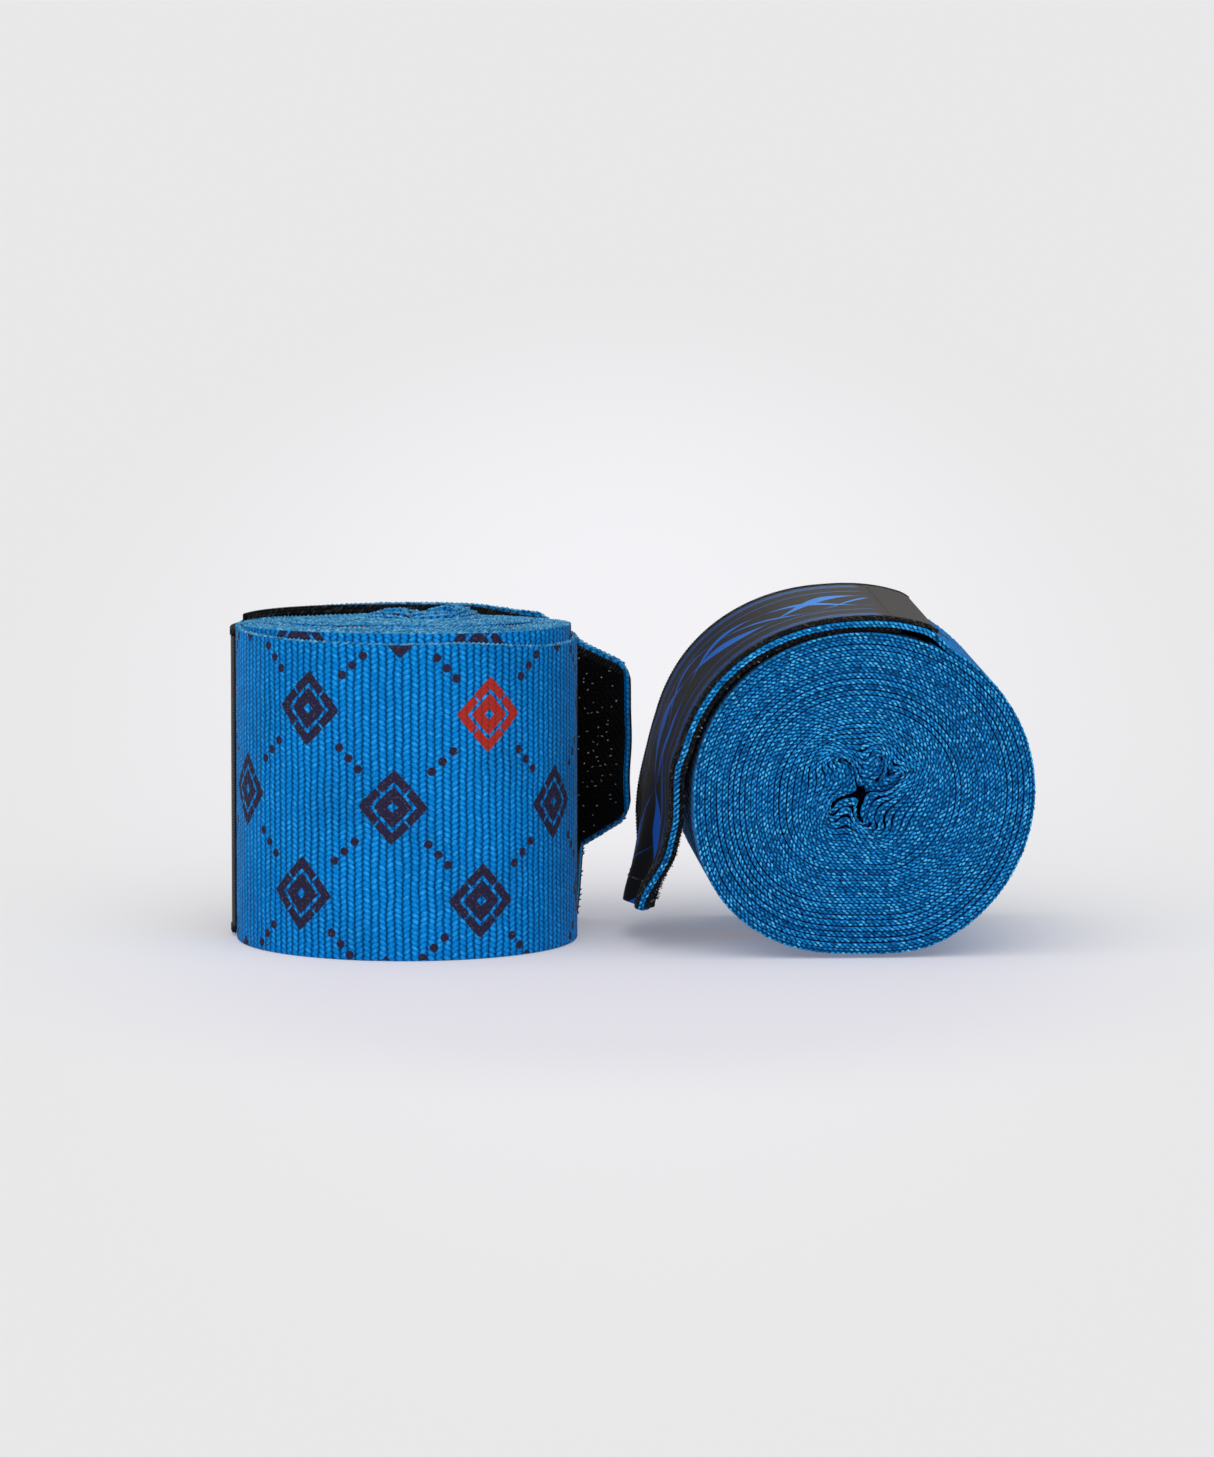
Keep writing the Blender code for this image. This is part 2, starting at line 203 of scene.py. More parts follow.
    def telescope(self, degrees):
        """How far a turn stands out along the axis: the left roll rises to a mound around its core."""
        turns = (self.start_deg - degrees) / 360
        sine, cosine = np.sin(np.radians(degrees)), np.cos(np.radians(degrees))
        if self.name == "left":
            outer = 0.15 - 1.8 * smooth((cosine - 0.3) / 0.7) - 1.1 * smooth((-sine - 0.2) / 0.8)
            inner = 0.45 + 1.45 * sine + 0.5 * smooth((turns - 7.4) / 0.3) + 0.16 * wobble(turns * 2.2, 3)
            inner = inner - 0.9 * sine * smooth((turns - 12) / 12)
            uneven = 0.5 * wobble(np.radians(degrees) * 2, 5)
            bump = smooth((turns - 15) / 8) * (0.9 + 0.9 * smooth(cosine) + uneven)
            inner = inner + bump + 0.1 * wobble(np.radians(degrees) * 3 + turns, 9)
            return outer + (inner - outer) * smooth((turns - 0.8) / 0.2)
        spread = 0.34 * wobble(turns * 1.9, 11) + 0.10 * wobble(np.radians(degrees) * 1.3 + turns, 12)
        return spread * smooth((turns - 0.6) / 0.8) * (1 - 0.7 * smooth((turns - 15) / 3))


def unit(angle):
    return np.stack([np.cos(angle), np.sin(angle)], axis=-1)


# The innermost turn is folded around a star of crevices: the direction and the length of each of its arms.
CREVICES = [(20, 6.4), (61, 5.4), (127, 5.2), (222, 4.8), (284, 4.6)]
LOBE_POWER = 1.7
SWIRL_DEG, SWIRL_WAVE, SWIRL_REACH = 19, 2.3, 7.5

# Away from the end faces the folds give way to a plain bore: from which depth, and over what length.
CORE_CLEAR, CORE_PITCH = 0.38, 0.81
BORE_RADIUS, BORE_FROM, BORE_OVER = 6.4, 3.0, 10.0


def crevice_place(degrees):
    """A direction's place between two crevices, -1 to 1, half the angle between them, and their length."""
    bounds = np.array([c[0] for c in CREVICES] + [CREVICES[0][0] + 360.0])
    lengths = np.array([c[1] for c in CREVICES] + [CREVICES[0][1]])
    angle = np.mod(degrees - bounds[0], 360) + bounds[0]
    index = np.clip(np.searchsorted(bounds, angle, side="right") - 1, 0, len(CREVICES) - 1)
    span = bounds[index + 1] - bounds[index]
    x = 2 * (angle - bounds[index]) / span - 1
    length = lengths[index] + (lengths[index + 1] - lengths[index]) * smooth((x + 1) / 2)
    return x, span / 2, length


def crevice_depth(degrees):
    """0 along the middle of a lobe and 1 at a crevice, by winding angle."""
    return np.abs(crevice_place(degrees)[0]) ** 4


def folded_turn(degrees, clear, pushed):
    """A turn's path (N, 2) at a distance around the star of crevices, with lobes between its arms."""
    x, half, length = crevice_place(degrees)
    spread = np.sign(x) * (1 - (1 - np.abs(x)) ** LOBE_POWER)
    x_here = x + (spread - x) * pushed
    away = np.maximum(np.radians(half) * (1 - np.abs(x_here) ** LOBE_POWER), 1e-3)
    beside = clear / np.sin(away)
    beyond = length * np.cos(away) + np.sqrt(np.maximum(clear**2 - (length * np.sin(away)) ** 2, 0))
    radius = np.where(clear / np.tan(away) < length, beside, beyond)
    swirl = SWIRL_DEG * np.sin(radius / SWIRL_WAVE) * np.exp(-((radius / SWIRL_REACH) ** 4))
    return radius[..., None] * unit(np.radians(degrees + (x_here - x) * half - swirl))


def spiral(wrap, degrees, w):
    """Mid-surface of the wound band at winding angles (N, M) and heights (N, M)."""
    turns = (wrap.start_deg - degrees) / 360
    angle = np.radians(degrees)
    wound = wrap.band_face(np.maximum(degrees, wrap.start_deg - 360 * LOOSE_FROM)) - BAND_THICK / 2
    ring = wrap.outline(degrees) - TURN_PITCH * LOOSE_FROM - BAND_THICK / 2
    depth = np.clip((turns - LOOSE_FROM) / (TURNS - LOOSE_FROM), 0, 1)
    ring = ring - LOOSE_PITCH * np.maximum(turns - LOOSE_FROM, 0)
    clear = CORE_CLEAR + CORE_PITCH * np.maximum(TURNS - turns, 0)
    folded = folded_turn(degrees - wrap.core_turn, clear, smooth(depth * 1.6))
    turn = math.radians(wrap.core_turn)
    rotate = np.array([[math.cos(turn), math.sin(turn)], [-math.sin(turn), math.cos(turn)]])
    folded = folded @ rotate + np.array(wrap.core_centre)
    bore = BORE_RADIUS * unit(angle)
    from_face = np.minimum(w, BAND_WIDTH - w)
    inside = smooth((from_face - BORE_FROM) / BORE_OVER)[..., None]
    core = folded * (1 - inside) + bore * inside
    blended = (1 - depth[..., None]) * ring[..., None] * unit(angle) + depth[..., None] * core
    return np.where((turns > LOOSE_FROM)[..., None], blended, wound[..., None] * unit(angle))


def normals_of(points):
    """Unit normals (N, M, 2) to the right of the direction of travel, which is outward for a wound band."""
    along = np.gradient(points, axis=0)
    normal = np.stack([along[..., 1], -along[..., 0]], axis=-1)
    return normal / np.maximum(np.linalg.norm(normal, axis=-1, keepdims=True), 1e-9)


def path_length(points):
    steps = np.linalg.norm(np.diff(points, axis=0), axis=-1)
    return np.concatenate([[0.0], np.cumsum(steps)])


def new_object(name, data):
    made = bpy.data.objects.new(name, data)
    bpy.context.scene.collection.objects.link(made)
    return made


def make_mesh(name, points, quads, attributes, material):
    """A mesh object from world points in metres and an (F, 4) array of quads."""
    corners = points[quads]
    volume = np.einsum("ij,ij->i", corners[:, 0], np.cross(corners[:, 1], corners[:, 2])).sum()
    volume += np.einsum("ij,ij->i", corners[:, 0], np.cross(corners[:, 2], corners[:, 3])).sum()
    quads = quads[:, ::-1] if volume < 0 else quads
    mesh = bpy.data.meshes.new(name)
    mesh.vertices.add(len(points))
    mesh.vertices.foreach_set("co", points.astype(np.float32).ravel())
    mesh.loops.add(quads.size)
    mesh.loops.foreach_set("vertex_index", np.ascontiguousarray(quads, np.int32).ravel())
    mesh.polygons.add(len(quads))
    mesh.polygons.foreach_set("loop_start", np.arange(0, quads.size, 4, dtype=np.int32))
    mesh.update(calc_edges=True)
    mesh.shade_smooth()
    for key, values in attributes.items():
        kind = "FLOAT_VECTOR" if values.ndim == 2 else "FLOAT"
        layer = mesh.attributes.new(key, kind, "POINT")
        layer.data.foreach_set("vector" if values.ndim == 2 else "value", values.astype(np.float32).ravel())
    mesh.materials.append(material)
    mesh.validate()
    return new_object(name, mesh)


def tube_quads(stations, ring, closed=False):
    """Quads of a tube of (stations, ring) points, with caps whose quads join opposite points of the ring."""
    i = np.arange(stations if closed else stations - 1)[:, None]
    j = np.arange(ring)[None, :]
    ni, nj = (i + 1) % stations, (j + 1) % ring
    sides = np.stack([i * ring + j, ni * ring + j, ni * ring + nj, i * ring + nj], axis=-1).reshape(-1, 4)
    if closed:
        return sides
    k = np.arange(ring // 2 - 1)
    low = np.stack([k, k + 1, ring - 2 - k, ring - 1 - k], axis=-1)
    high = (stations - 1) * ring + low[:, ::-1]
    return np.concatenate([sides, low, high])


def repeated_tubes(count, stations, ring):
    """Quads of many separate tubes of the same kind."""
    firsts = (np.arange(count) * stations * ring)[:, None, None]
    return (tube_quads(stations, ring)[None] + firsts).reshape(-1, 4)


# A cloth's rounded edge: rows this far in, with this share of the thickness and of the edge's colour.
EDGE_STEPS = np.array([0.0, 0.09, 0.26])
EDGE_HALVES = np.array([0.35, 0.78, 1.0])
EDGE_FLAGS = np.array([1.0, 0.7, 0.0])


def rows_between(low, high, inner_rows):
    """Heights (N, M) from edge to edge, and each row's share of the thickness and of the edge's colour."""
    low, high = np.atleast_1d(low)[:, None], np.atleast_1d(high)[:, None]
    shares = np.linspace(0, 1, inner_rows + 2)[1:-1][None, :]
    inner_low, inner_high = low + EDGE_STEPS[-1], high - EDGE_STEPS[-1]
    middle = inner_low + (inner_high - inner_low) * shares
    rows = np.concatenate([low + EDGE_STEPS, middle, high - EDGE_STEPS[::-1]], axis=1)
    halves = np.concatenate([EDGE_HALVES, np.ones(inner_rows), EDGE_HALVES[::-1]])
    flags = np.concatenate([EDGE_FLAGS, np.zeros(inner_rows), EDGE_FLAGS[::-1]])
    return rows, halves, flags


def ribbon(name, wrap, mid, normal, section, thick, along, material, relief=0.0, closed=False):
    """A strip of cloth of a section from rows_between: mid and normal are (N, M, 2), along (N)."""
    rows, halves, flags = section
    half = np.broadcast_to(thick / 2 * halves, rows.shape)
    outer_half = half + relief
    outer, inner = mid + normal * outer_half[..., None], mid - normal * half[..., None]
    ring = np.concatenate([outer, inner[:, ::-1]], axis=1)
    heights = np.concatenate([rows, rows[:, ::-1]], axis=1)
    stations, count = heights.shape
    along = np.broadcast_to(along[:, None], rows.shape)
    lengths = np.concatenate([along, along[:, ::-1]], axis=1)
    edge = np.broadcast_to(np.concatenate([flags, flags[::-1]]), heights.shape)
    side = np.concatenate([np.zeros_like(rows), np.ones_like(rows)], axis=1)
    cloth = np.stack([lengths, heights, edge], axis=-1).reshape(-1, 3)
    points = wrap.world(ring, heights).reshape(-1, 3)
    quads = tube_quads(stations, count, closed)
    attributes = {"cloth": cloth, "inside": side.ravel()}
    return make_mesh(f"{wrap.name}_{name}", points, quads, attributes, material)


class Num:
    """A number carried by a shader socket, with arithmetic that adds Math nodes."""

    def __init__(self, tree, socket):
        self.tree, self.socket = tree, socket

    def op(self, operation, *others):
        node = self.tree.nodes.new("ShaderNodeMath")
        node.operation = operation
        for slot, value in zip(node.inputs, (self, *others)):
            if isinstance(value, Num):
                self.tree.links.new(value.socket, slot)
            else:
                slot.default_value = value
        return Num(self.tree, node.outputs[0])

    def __add__(self, other):
        return self.op("ADD", other)

    def __sub__(self, other):
        return self.op("SUBTRACT", other)

    def __rsub__(self, other):
        return (self * -1) + other

    def __mul__(self, other):
        return self.op("MULTIPLY", other)

    def __truediv__(self, other):
        return self.op("DIVIDE", other)

    def __abs__(self):
        return self.op("ABSOLUTE")

    def step(self, low, high):
        """0 below low and 1 above high, smooth between."""
        node = self.tree.nodes.new("ShaderNodeMapRange")
        node.interpolation_type = "SMOOTHSTEP"
        self.tree.links.new(self.socket, node.inputs["Value"])
        if low > high:
            low, high = high, low
            node.inputs["To Min"].default_value, node.inputs["To Max"].default_value = 1.0, 0.0
        node.inputs["From Min"].default_value, node.inputs["From Max"].default_value = low, high
        return Num(self.tree, node.outputs["Result"])


class Shader:
    """A Principled material and the nodes that feed it."""

    def __init__(self, name, roughness, specular, sheen=(0.0, 0.5, (1, 1, 1, 1))):
        """The sheen is its weight, its roughness and its tint."""
        self.material = bpy.data.materials.new(name)
        self.material.use_nodes = True
        self.tree = self.material.node_tree
        self.shader = self.tree.nodes["Principled BSDF"]
        inputs = ("Roughness", "Specular IOR Level", "Sheen Weight", "Sheen Roughness", "Sheen Tint")
        for key, value in zip(inputs, (roughness, specular, *sheen)):
            self.shader.inputs[key].default_value = value

    def node(self, kind, **settings):
        made = self.tree.nodes.new(kind)
        for key, value in settings.items():
            setattr(made, key, value)
        return made

    def link(self, out, slot):
        self.tree.links.new(out, slot)

    def attribute(self, name, output="Vector"):
        return self.node("ShaderNodeAttribute", attribute_name=name).outputs[output]

    def number(self, name):
        return Num(self.tree, self.attribute(name, "Fac"))

    def parts(self, vector_out):
        split = self.node("ShaderNodeSeparateXYZ")
        self.link(vector_out, split.inputs[0])
        return [Num(self.tree, out) for out in split.outputs]

    def cloth(self):
        """A place on a cloth, and its three numbers: length along, height across, and the edge's flag."""
        place = self.attribute("cloth")
        return place, *self.parts(place)

    def vector(self, *values):
        join = self.node("ShaderNodeCombineXYZ")
        for slot, value in zip(join.inputs, values):
            if isinstance(value, Num):
                self.link(value.socket, slot)
            else:
                slot.default_value = value
        return join.outputs[0]

    def noise(self, vector, scale, detail=2.0, roughness=0.5):
        made = self.node("ShaderNodeTexNoise")
        self.link(vector, made.inputs["Vector"])
        made.inputs["Scale"].default_value = scale
        made.inputs["Detail"].default_value = detail
        made.inputs["Roughness"].default_value = roughness
        return Num(self.tree, made.outputs["Fac"])

    def random(self, vector):
        made = self.node("ShaderNodeTexWhiteNoise")
        self.link(vector, made.inputs["Vector"])
        return Num(self.tree, made.outputs["Value"])

    def mix(self, share, low, high):
        """A colour between two colours, each a tuple or an output socket."""
        made = self.node("ShaderNodeMix", data_type="RGBA")
        self.link(share.socket, made.inputs[0])
        for slot, colour in ((made.inputs[6], low), (made.inputs[7], high)):
            if isinstance(colour, tuple):
                slot.default_value = (*colour, 1.0)
            else:
                self.link(colour, slot)
        return made.outputs[2]

    def finish(self, colour, height, depth):
        """Sets the colour, and a bump from a height of 0 to 1 that stands for depth millimetres."""
        self.link(colour, self.shader.inputs["Base Color"])
        bump = self.node("ShaderNodeBump")
        bump.inputs["Distance"].default_value = depth * MM
        bump.inputs["Strength"].default_value = 1.0
        self.link(height.socket, bump.inputs["Height"])
        self.link(bump.outputs[0], self.shader.inputs["Normal"])
        return self.material


# The weave's blues: DEEP is painted shade for its grooves and holes, and also darkens random patches; MID is
# its own blue; TOP is a painted highlight for the stitches' tops.
DEEP = (0.0002, 0.010, 0.05)
MID = (0.0016, 0.225, 0.68)
TOP = (0.03, 0.42, 0.95)
NAVY = (0.022, 0.020, 0.052)
NAVY_SPECK = (0.13, 0.085, 0.11)
RED = (0.42, 0.032, 0.022)
# RED_DARK is the red print with painted shade, for the grooves.
RED_DARK = (0.12, 0.025, 0.03)

# The print repeats on a slightly skewed diamond lattice, whose cell has about this length and width. LATTICE
# gives its two directions in cells per millimetre. One lozenge in RED_EVERY is red.
CELL_ALONG = 30.0
CELL_ACROSS = 29.4
LATTICE = ((0.0347, 0.0323), (0.0328, 0.0355))
LOZENGE = (5.5, 5.9)
LOZENGE_POWER = 1.05
RED_EVERY = 10.0
DOT_GAP = 2.3
DOT_RADIUS = 0.7
DOT_BLUR = 0.07


def ripple(turns):
    """A sine wave from 0 to 1."""
    return (turns * math.tau).op("SINE") * 0.5 + 0.5


def brick(shade, s, w):
    """Staggered stitches: their height, from 0 to 1, and a random number for each of them."""
    column = (s / RIB).op("FLOOR")
    across = (s / RIB).op("FRACT") - 0.5
    slip = shade.random(shade.vector(column, 7.0, 3.0)) * 0.3
    odd = column.op("FLOORED_MODULO", 2.0)
    shifted = w / STITCH + odd * 0.5 + slip + (odd - 0.5) * across * 1.3
    along = shifted.op("FRACT") - 0.5
    height = 1 - across * across * 2.5 - along * along * 1.5
    chance = shade.random(shade.vector(column, shifted.op("FLOOR"), 0.0))
    return height, chance


def printed(s, w, origin):
    """Where the print is and where it is red: a lozenge on each lattice point, dots on the links."""
    s, w = (s - origin[0]) * -1, w - origin[1]
    a = s * LATTICE[0][0] + w * LATTICE[0][1]
    b = s * LATTICE[1][0] - w * LATTICE[1][1]
    near_a, near_b = a.op("ROUND"), b.op("ROUND")
    off_a, off_b = a - near_a, b - near_b
    x = (off_a + off_b) * (CELL_ALONG / 2)
    y = (off_a - off_b) * (CELL_ACROSS / 2)
    x, y = abs(x), abs(y)
    lozenge = (x / LOZENGE[0]).op("POWER", LOZENGE_POWER) + (y / LOZENGE[1]).op("POWER", LOZENGE_POWER)
    inner_gap = abs(lozenge - 0.6).step(0.045, 0.075)
    corner_gap = (abs(x - y * 0.93) + lozenge.step(0.58, 0.54) * 2).step(0.16, 0.28)
    eye = (x + y).step(0.75, 0.95)
    flower = lozenge.step(1.03, 0.98) * inner_gap * corner_gap * eye
    diagonal = math.hypot(CELL_ALONG, CELL_ACROSS) / 2
    dots = None
    for run, cross in ((off_a, off_b), (off_b, off_a)):
        from_middle = (0.5 - abs(run)) * diagonal
        for k in (0.0, DOT_GAP):
            offset = from_middle - k
            away = (offset * offset + cross * cross * diagonal**2).op("SQRT")
            dot = away.step(DOT_RADIUS + DOT_BLUR, DOT_RADIUS - DOT_BLUR)
            dots = dot if dots is None else dots.op("MAXIMUM", dot)
    pick = (near_a + near_b * 4 - 1.0).op("FLOORED_MODULO", RED_EVERY)
    red = abs(pick).step(0.4, 0.2) * flower
    return flower.op("MAXIMUM", dots), red


def band_material(name, origin, edge_colour, bare=0.0):
    """The printed elastic weave. The print stops short of the cloth's edges by the bare width."""
    shade = Shader(name, 0.9, 0.03, (0.12, 0.25, (0.5, 0.78, 1.0, 1.0)))
    cloth, s, w, edge = shade.cloth()
    inside = shade.number("inside")
    soft = shade.noise(cloth, 0.22, 2.0)
    fine = shade.noise(cloth, 2.4, 3.0, 0.65)
    s_wavy = s + (soft - 0.5) * 0.8 + (fine - 0.5) * 0.28
    height, chance = brick(shade, s_wavy, w + (fine - 0.5) * 0.34)
    # The colour follows the stitches' height. Their tops are painted lighter and their grooves and holes
    # painted dark, as painted shade, and sparkle paints a highlight, TOP, on some of the tops.
    lit = (height + (fine - 0.5) * 0.5).step(0.04, 0.92)
    colour = shade.mix(lit, DEEP, MID)
    hole = (height + (fine - 0.5) * 0.35).step(0.30, 0.08)
    colour = shade.mix(hole * 0.8, colour, (0.0002, 0.007, 0.035))
    glint = shade.noise(cloth, 1.7, 2.0, 0.6).step(0.42, 0.62)
    sparkle = ((chance * 0.5 + glint * 0.5 - 0.25) * height.step(0.66, 0.97)).op("MAXIMUM", 0.0)
    colour = shade.mix(sparkle * 1.25, colour, TOP)
    patch = shade.noise(cloth, 0.07, 3.0)
    colour = shade.mix(patch.step(0.4, 0.75) * 0.2, colour, DEEP)
    mark, red = printed(s + (fine - 0.5) * 0.3, w + (fine - 0.5) * 0.3, origin)
    mark = mark * (BAND_WIDTH / 2 - abs(w - BAND_WIDTH / 2)).step(bare - 0.1, bare) if bare else mark
    speck = shade.noise(cloth, 2.1, 3.0, 0.8).step(0.54, 0.66)
    ink = shade.mix(speck * height.step(0.2, 0.7) * 0.85, NAVY, NAVY_SPECK)
    # The red print is painted darker down in the grooves, as painted shade.
    red_ink = shade.mix(height.step(0.55, 0.1) * 0.9, RED, RED_DARK)
    ink = shade.mix(red, ink, red_ink)
    colour = shade.mix(mark * (1 - inside) * edge.step(0.5, 0.2), colour, ink)
    # The rounded edges take edge_colour: on the left roll pale fuzz with painted sheen, and on the right a
    # dark blue, painted shade between the edge's stitches.
    colour = shade.mix(edge.step(0.35, 0.95) * 0.85, colour, edge_colour)
    return shade.finish(colour, height, 0.2)


# The dark, middle and light tone of each yarn. The left roll's yarn is paler than the right's, as painted
# sheen on its top face seen at a grazing angle.
YARNS = {
    "left_yarn": ((0.004, 0.12, 0.30), (0.05, 0.27, 0.50), (0.18, 0.46, 0.68)),
    "right_yarn": ((0.001, 0.10, 0.30), (0.006, 0.30, 0.73), (0.09, 0.60, 1.0)),
    "strap_cord": ((0.003, 0.003, 0.003), (0.014, 0.013, 0.012), (0.07, 0.062, 0.055)),
}


def yarn_material(name):
    dark, mid, light = YARNS[name]
    shade = Shader(name, 0.85, 0.05, (0.08, 0.5, (0.6, 0.85, 1.0, 1.0)))
    tone = shade.number("tone")
    place = shade.node("ShaderNodeTexCoord").outputs["Object"]
    fine = shade.noise(place, 2400.0, 2.0)
    colour = shade.mix(tone.step(0.0, 0.6), dark, mid)
    colour = shade.mix(tone.step(0.45, 1.0), colour, light)
    return shade.finish(colour, fine, 0.05)


def strap_material():
    """Black jacquard, painted lighter grey along its first part and darker towards the tail, as painted light
    from above, with crossing strokes, stripes and edge cords.
    """
    shade = Shader("strap_jacquard", 0.65, 0.03, (0.04, 0.5, (0.9, 0.92, 1.0, 1.0)))
    cloth, s, w, edge = shade.cloth()
    inside = shade.number("inside")
    fine = shade.noise(cloth, 2.8, 3.0, 0.7)
    from_edge = BAND_WIDTH / 2 - CLOSURE_INSET - abs(w - BAND_WIDTH / 2)
    twill = ripple(w / 0.42 + s / 0.9)
    # Painted light: the twill, its flecks and the blue ink are painted lighter over the strap's first 12 to
    # 40 millimetres, where light from above falls, and darker towards the tail.
    painted_light = s.step(40.0, 12.0)
    dark = shade.mix(twill, (0.003, 0.003, 0.003), (0.009, 0.008, 0.008))
    bright = shade.mix(twill, (0.048, 0.045, 0.043), (0.102, 0.095, 0.088))
    colour = shade.mix(painted_light, dark, bright)
    colour = shade.mix(fine.step(0.45, 0.8) * painted_light * 0.5, colour, (0.13, 0.118, 0.105))
    blue = None
    for phase, width, swing in ((0.0, 1.35, 7.5), (0.47, 0.75, 6.0), (0.22, 0.4, 9.5)):
        wave = ((s / 41.0 + phase) * math.tau).op("SINE")
        slim = ((s / 17.0 + phase * 2 + 0.13) * math.tau).op("SINE")
        centre = w - BAND_WIDTH / 2 - wave * swing - slim * 1.2
        stroke = (abs(centre) - (slim + 1.05) * width).step(0.12, -0.12)
        blue = stroke if blue is None else blue.op("MAXIMUM", stroke)
    for place in (3.2, 4.4, 5.4, 11.5):
        line = abs(from_edge - place - (fine - 0.5) * 0.2).step(0.21, 0.13)
        blue = blue.op("MAXIMUM", line)
    broken = (twill * 0.3 + fine).step(0.32, 0.46)
    blue = blue * broken * inside.step(0.6, 0.4) * s.step(9.0, 11.0)
    ink = shade.mix(painted_light, (0.002, 0.10, 0.48), (0.10, 0.33, 0.86))
    colour = shade.mix(blue, colour, ink)
    cord = from_edge.step(1.25, 1.05)
    cord_rib = ripple(s / 0.62 + w * 0.8)
    cord_colour = shade.mix(cord_rib * fine.step(0.3, 0.7), (0.004, 0.004, 0.004), (0.06, 0.053, 0.047))
    colour = shade.mix(cord.op("MAXIMUM", edge.step(0.2, 0.6)), colour, cord_colour)
    height = twill * 0.35 + fine * 0.25 + blue * 0.4
    height = height * (1 - cord) + cord * cord_rib
    return shade.finish(colour, height, 0.08)


def hook_material():
    shade = Shader("hook_tape", 0.7, 0.08)
    cloth, s, w, edge = shade.cloth()
    fine = shade.noise(cloth, 3.5, 3.0, 0.7)
    rope = ripple(s / 1.1 + w / 1.6)
    colour = shade.mix(fine.step(0.4, 0.8), (0.0012, 0.0012, 0.0014), (0.004, 0.004, 0.0045))
    rope_colour = shade.mix(rope * fine.step(0.35, 0.7), (0.002, 0.002, 0.002), (0.05, 0.045, 0.04))
    colour = shade.mix(edge.step(0.15, 0.6), colour, rope_colour)
    return shade.finish(colour, fine * 0.5 + rope * 0.5, 0.12)


def hook_plastic_material():
    shade = Shader("hook_plastic", 0.4, 0.2)
    tone = shade.number("tone")
    # Painted glints: a tone above 0 turns a black hook grey.
    shade.link(shade.mix(tone, (0.002, 0.002, 0.0025), (0.5, 0.5, 0.5)), shade.shader.inputs["Base Color"])
    return shade.material


def thread_material():
    shade = Shader("sewing_thread", 0.7, 0.4, (0.2, 0.5, (1, 1, 1, 1)))
    place = shade.node("ShaderNodeTexCoord").outputs["Object"]
    fine = shade.noise(place, 1800.0, 3.0, 0.7)
    colour = shade.mix(fine.step(0.35, 0.75), (0.004, 0.004, 0.004), (0.022, 0.020, 0.019))
    return shade.finish(colour, fine, 0.04)


def winding_angles(wrap, first_turn, last_turn, spacing):
    """Angles in degrees from the core outward, closer together where the folds are tight."""
    angles = [wrap.start_deg - 360 * first_turn]
    last = wrap.start_deg - 360 * last_turn
    while angles[-1] < last:
        turns = (wrap.start_deg - angles[-1]) / 360
        radius = max(wrap.side_radius - TURN_PITCH * turns, 6.0)
        step = min(math.degrees(spacing / radius), 1.8 if turns > LOOSE_FROM else 4.0)
        angles.append(angles[-1] + step)
    angles[-1] = last
    return np.array(angles)


def wound_length(wrap, degrees):
    """Length along the band in millimetres, 0 where the closure starts and negative inward."""
    grid = np.arange(wrap.start_deg - 360 * TURNS, wrap.start_deg + 1.0, 1.0)
    low = spiral(wrap, grid[:, None], np.zeros((len(grid), 1)))[:, 0]
    length = path_length(low)
    return np.interp(degrees, grid, length - length[-1])


def wound_turns(wrap, material):
    """All turns under the last one, as one strip wound from the core outward."""
    degrees = winding_angles(wrap, TURNS, 1.0, 1.1)
    shift = wrap.telescope(degrees)
    dimple = wrap.dimple(degrees)
    low = (np.maximum(shift, 0.05) if wrap.name == "left" else shift) + dimple
    section = rows_between(low, BAND_WIDTH + shift - dimple, 5)
    grid = np.broadcast_to(degrees[:, None], section[0].shape)
    mid, normal, thick = wound_section(wrap, grid, section[0] - shift[:, None])
    return ribbon("wound_band", wrap, mid, normal, section, thick, wound_length(wrap, degrees), material)


def wound_section(wrap, degrees, rows):
    """Mid-surface, normals and thickness of the wound band.

    A turn fills most of the room to the next one, and less of it where a few turns lie loose.
    """
    mid = spiral(wrap, degrees, rows)
    normal = normals_of(mid)
    room = np.sum((spiral(wrap, degrees + 360, rows) - mid) * normal, axis=-1)
    turns = (wrap.start_deg - degrees) / 360
    tight = 0.78 + 0.12 * smooth((turns - 2.0) / 2.0) - 0.26 * smooth(wobble(turns * 2.6, 31) * 4 - 1.2)
    return mid, normal, np.clip(room * tight, 0.3, 1.2)


def last_turn(wrap, material):
    """The band's last full turn, with the ribs of its weave in relief."""
    first = wrap.start_deg - 360
    count = int(round(math.radians(360) * wrap.side_radius / RIB)) * 4
    degrees = np.linspace(first, wrap.start_deg, count + 1)
    shift = wrap.telescope(degrees)
    shift[0] = shift[1]
    low = np.where(wrap.name == "left", 0.0, shift)
    section = rows_between(low, BAND_WIDTH + shift, 44)
    rows, _, flags = section
    grid = np.broadcast_to(degrees[:, None], rows.shape)
    mid = spiral(wrap, grid, rows)
    along = wound_length(wrap, degrees)
    rib = 0.035 * np.cos(2 * np.pi * along / RIB)[:, None] * np.where(flags > 0, 0.6, 1.0)[None, :]
    ease = 0.05 * wobble(along / 7.0, 21)[:, None] * np.sin(rows / 50 * np.pi)
    relief = rib + ease
    return ribbon("last_turn", wrap, mid, normals_of(mid), section, BAND_THICK, along, material, relief)


PLEAT_DEPTH = {"left": 0.3, "right": 0.95}
STRIP_SPACING = 0.35


